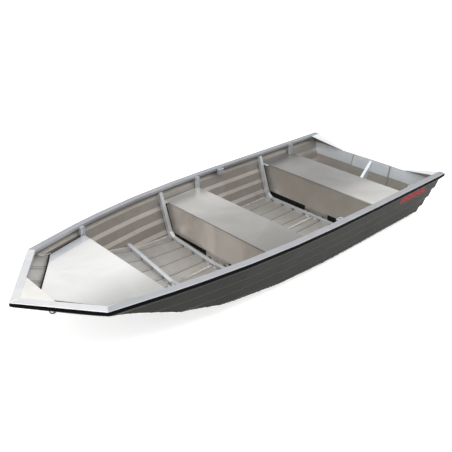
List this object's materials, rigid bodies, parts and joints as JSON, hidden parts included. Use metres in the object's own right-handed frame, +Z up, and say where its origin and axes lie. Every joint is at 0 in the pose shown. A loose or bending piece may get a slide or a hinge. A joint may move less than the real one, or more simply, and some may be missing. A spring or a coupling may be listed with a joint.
{
  "type": "open aluminium punt with a V nose",
  "caption": "Open welded aluminium punt with a V nose, pressed sides, two box seats, a foredeck and a low raked transom for an outboard",
  "frame": {"origin": "on the ground under the middle of the boat's length, on its centreline", "axes": "+X to the bow, +Y to port, +Z up"},
  "size_m": [3.6, 1.422, 0.449],
  "materials": {
    "side_skin": "satin dark paint outside, bare sheet inside",
    "bottom_skin": "mill finish",
    "insert": "satin",
    "gunwale": "satin",
    "rib": "satin",
    "foam": "matte",
    "seat_sheet": "brushed",
    "seat_panel": "mill finish",
    "bracket": "mill finish",
    "strip": "mill finish",
    "plate": "satin",
    "transom": "mill finish",
    "motor_pad": "satin",
    "bung": "matte",
    "rowlock": "satin",
    "bow_eye": "satin"
  },
  "bodies": {
    "root": {"bottom_port": "bottom_skin", "bottom_starboard": "bottom_skin", "bow_eye": "bow_eye", "bow_plate": "plate", "bow_port": "side_skin", "bow_starboard": "side_skin", "bung": "bung", "corner_plates": "plate", "foredeck": "seat_sheet", "foredeck_foam": "foam", "foredeck_hangers": "bracket", "foredeck_rails": "bracket", "gunwale_bow_port": "gunwale", "gunwale_bow_starboard": "gunwale", "gunwale_port": "gunwale", "gunwale_starboard": "gunwale", "insert_port": "insert", "insert_starboard": "insert", "keel": "strip", "motor_pad_inner": "motor_pad", "motor_pad_outer": "motor_pad", "rib_aft": "rib", "rib_front": "rib", "rib_mid": "rib", "rowlock_port": "rowlock", "rowlock_starboard": "rowlock", "runner_port": "strip", "runner_starboard": "strip", "seam_strip": "strip", "seat_aft_foam": "foam", "seat_aft_front": "seat_panel", "seat_aft_hangers": "bracket", "seat_aft_rails": "bracket", "seat_aft_rear": "seat_panel", "seat_aft_top": "seat_sheet", "seat_mid_foam": "foam", "seat_mid_front": "seat_panel", "seat_mid_hangers": "bracket", "seat_mid_rails": "bracket", "seat_mid_rear": "seat_panel", "seat_mid_top": "seat_sheet", "side_port": "side_skin", "side_starboard": "side_skin", "transom": "transom", "transom_cap": "transom", "transom_knee": "transom"}
  },
  "joints": []
}
